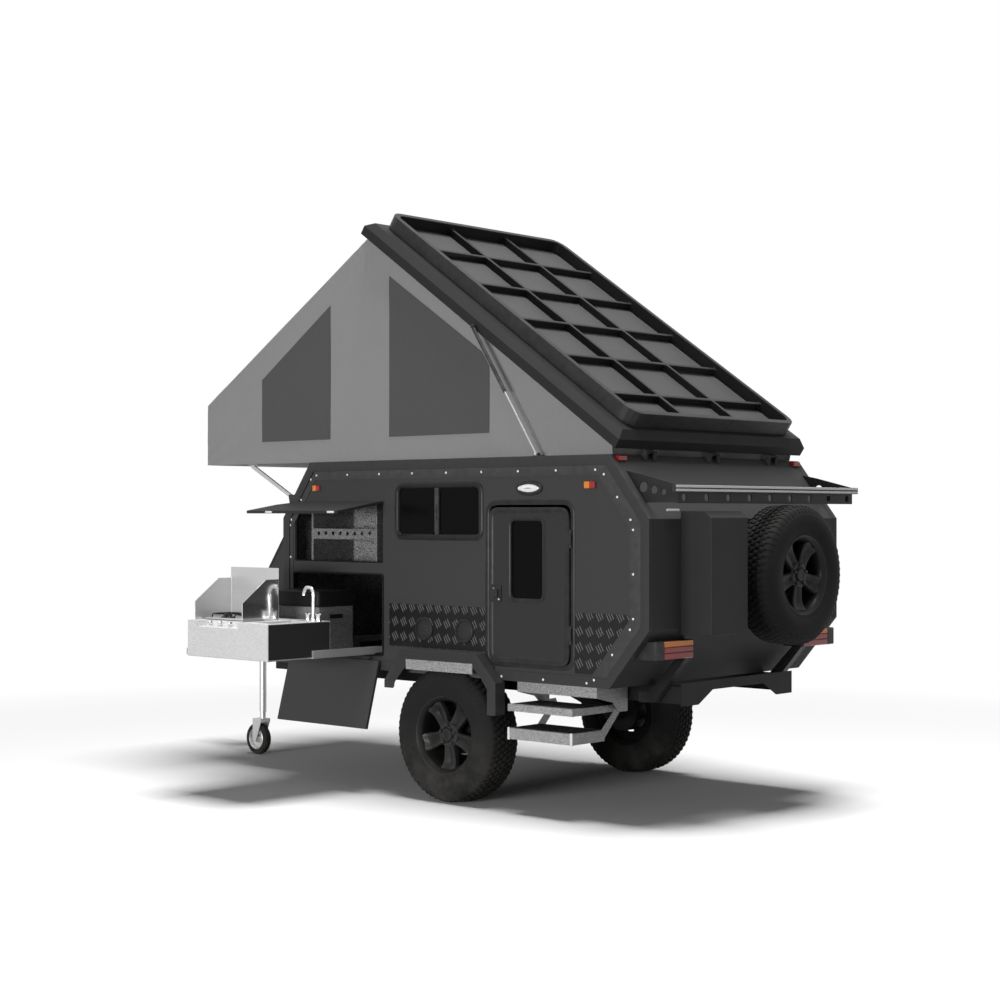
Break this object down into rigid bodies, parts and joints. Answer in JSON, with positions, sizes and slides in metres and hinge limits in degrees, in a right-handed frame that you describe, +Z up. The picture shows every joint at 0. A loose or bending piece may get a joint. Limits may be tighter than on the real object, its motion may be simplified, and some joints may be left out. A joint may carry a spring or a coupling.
{
  "type": "camper trailer",
  "caption": "Off-road camper trailer with a tilted roof lid, side tent, slide-out kitchen, fold-down door, entry steps and rear spare wheel.",
  "frame": {"origin": "centre of the tow ball in the coupling", "axes": "+X forward along the trailer, +Y left, +Z up"},
  "size_m": [4.937, 2.78, 3.5412],
  "materials": {
    "body_black": "matt",
    "trim_grey": "satin",
    "checker_plate": "satin",
    "galvanised": "satin",
    "bright_steel": "brushed",
    "black_plastic": "matt",
    "grey_plastic": "matt",
    "glass_dark": "gloss",
    "canvas": "woven",
    "tyre": "matt",
    "rim_black": "gloss",
    "aluminium": "satin",
    "lamp_red": "gloss",
    "lamp_amber": "gloss",
    "lamp_white": "gloss",
    "foam_deck": "matt",
    "bay_lining": "carpet"
  },
  "bodies": {
    "trailer": {"bay_liner": "bay_lining", "body_hinges": "black_plastic", "chassis": "galvanised", "checker_plates": "checker_plate", "drawbar": "galvanised", "edge_trims": "trim_grey", "fenders": "trim_grey", "floor_panel": "body_black", "frames": "black_plastic", "front_box": "body_black", "front_panel": "body_black", "jockey_tube": "bright_steel", "marker_lamps": "lamp_amber", "porch_light": "lamp_white", "rear_box": "checker_plate", "rear_bumper": "body_black", "rear_panel": "body_black", "rear_tray": "body_black", "roof_panel": "body_black", "shelf_unit": "aluminium", "side_vents": "black_plastic", "side_wall_left": "body_black", "side_wall_right": "body_black", "slide_runners_outer": "bright_steel", "spare_carrier": "body_black", "spare_rim": "rim_black", "spare_tyre": "tyre", "step_bracket": "galvanised", "tail_lamps": "lamp_red", "tent": "canvas", "tow_coupling": "bright_steel", "trailing_arms": "body_black", "window_glass": "glass_dark"},
    "wheel_left": {"tyre_left": "tyre", "rim_left": "rim_black"},
    "wheel_right": {"tyre_right": "tyre", "rim_right": "rim_black"},
    "jockey_swivel": {"jockey_fork": "bright_steel"},
    "jockey_wheel": {"jockey_tyre": "tyre", "jockey_rim": "lamp_white"},
    "door": {"entry_door": "trim_grey", "entry_door_glass": "glass_dark"},
    "hatch": {"upper_hatch": "aluminium"},
    "drop_panel": {"drop_door": "trim_grey"},
    "kitchen": {"kitchen_unit": "bright_steel", "hob": "bright_steel", "fridge": "grey_plastic", "slide_runners_inner": "bright_steel"},
    "shield": {"wind_shield": "bright_steel"},
    "steps": {"entry_steps": "galvanised"},
    "nose_lid": {"front_box_lid": "checker_plate"},
    "props": {"platform_props": "aluminium"},
    "platform": {"bed_platform": "foam_deck"},
    "lid": {"lid_shell": "trim_grey", "lid_tray": "body_black"},
    "strut_tubes": {"lid_strut_tubes": "body_black"},
    "strut_rods": {"lid_strut_rods": "bright_steel"}
  },
  "joints": [
    {"name": "wheel_left_spin", "type": "hinge", "parent": "trailer", "child": "wheel_left", "pos_m": [-3.15, 0.85, -0.292], "axis": [0, 1, 0], "continuous": true},
    {"name": "wheel_right_spin", "type": "hinge", "parent": "trailer", "child": "wheel_right", "pos_m": [-3.15, -0.85, -0.292], "axis": [0, 1, 0], "continuous": true},
    {"name": "jockey_swivel", "type": "hinge", "parent": "trailer", "child": "jockey_swivel", "pos_m": [-0.71, 0.264, -0.41], "axis": [0, 0, 1], "continuous": true},
    {"name": "jockey_wheel_spin", "type": "hinge", "parent": "jockey_swivel", "child": "jockey_wheel", "pos_m": [-0.664, 0.264, -0.58], "axis": [0, 1, 0], "continuous": true},
    {"name": "entry_door_swing", "type": "hinge", "parent": "trailer", "child": "door", "pos_m": [-4.086, 0.931, 0.59], "axis": [0, 0, 1], "range_deg": [0, 100]},
    {"name": "roof_lid", "type": "hinge", "parent": "trailer", "child": "lid", "pos_m": [-4.387, 0, 1.342], "axis": [0, 1, 0], "range_deg": [0, 34.4], "deforming": ["tent"]},
    {"name": "lid_strut_turn", "type": "hinge", "parent": "lid", "child": "strut_tubes", "pos_m": [-3.34658, 0, 2.08105], "axis": [0, 1, 0], "range_deg": [-2, 22.2]},
    {"name": "lid_strut_stroke", "type": "slide", "parent": "strut_tubes", "child": "strut_rods", "axis": [0.5467, 0, 0.8373], "range_m": [-0.005, 0.1722]},
    {"name": "platform_fold", "type": "hinge", "parent": "trailer", "child": "platform", "pos_m": [-1.942, 0, 1.341], "axis": [0, -1, 0], "range_deg": [0, 180]},
    {"name": "platform_prop_fold", "type": "hinge", "parent": "trailer", "child": "props", "pos_m": [-1.668, 0, 1.11], "axis": [0, 1, 0], "range_deg": [0, 117]},
    {"name": "upper_hatch_swing", "type": "hinge", "parent": "trailer", "child": "hatch", "pos_m": [-2.2, 0.933, 1.068], "axis": [-1, 0, 0], "range_deg": [0, 81]},
    {"name": "kitchen_slide", "type": "slide", "parent": "trailer", "child": "kitchen", "axis": [0, -1, 0], "range_m": [0, 0.875]},
    {"name": "wind_shield_sink", "type": "slide", "parent": "kitchen", "child": "shield", "axis": [0, 0, -1], "range_m": [0, 0.15]},
    {"name": "drop_door_swing", "type": "hinge", "parent": "trailer", "child": "drop_panel", "pos_m": [-2.2, 0.933, 0.122], "axis": [1, 0, 0], "range_deg": [0, 165]},
    {"name": "entry_steps_swing", "type": "hinge", "parent": "trailer", "child": "steps", "pos_m": [-3.92, 0.6, -0.085], "axis": [-1, 0, 0], "range_deg": [0, 135]},
    {"name": "front_box_lid_lift", "type": "hinge", "parent": "trailer", "child": "nose_lid", "pos_m": [-1.57919, 0, 0.91039], "axis": [0, -1, 0], "range_deg": [0, 70]}
  ],
  "couplings": [
    {"joint": "lid_strut_turn", "follows": "roof_lid", "ratio": 0.5884},
    {"joint": "lid_strut_stroke", "follows": "roof_lid", "m_per_rad": 0.2785},
    {"joint": "platform_prop_fold", "follows": "platform_fold", "ratio": 0.642},
    {"joint": "wind_shield_sink", "follows": "kitchen_slide", "ratio": 0.125},
    {"joint": "drop_door_swing", "follows": "kitchen_slide", "rad_per_m": 1.6955}
  ]
}
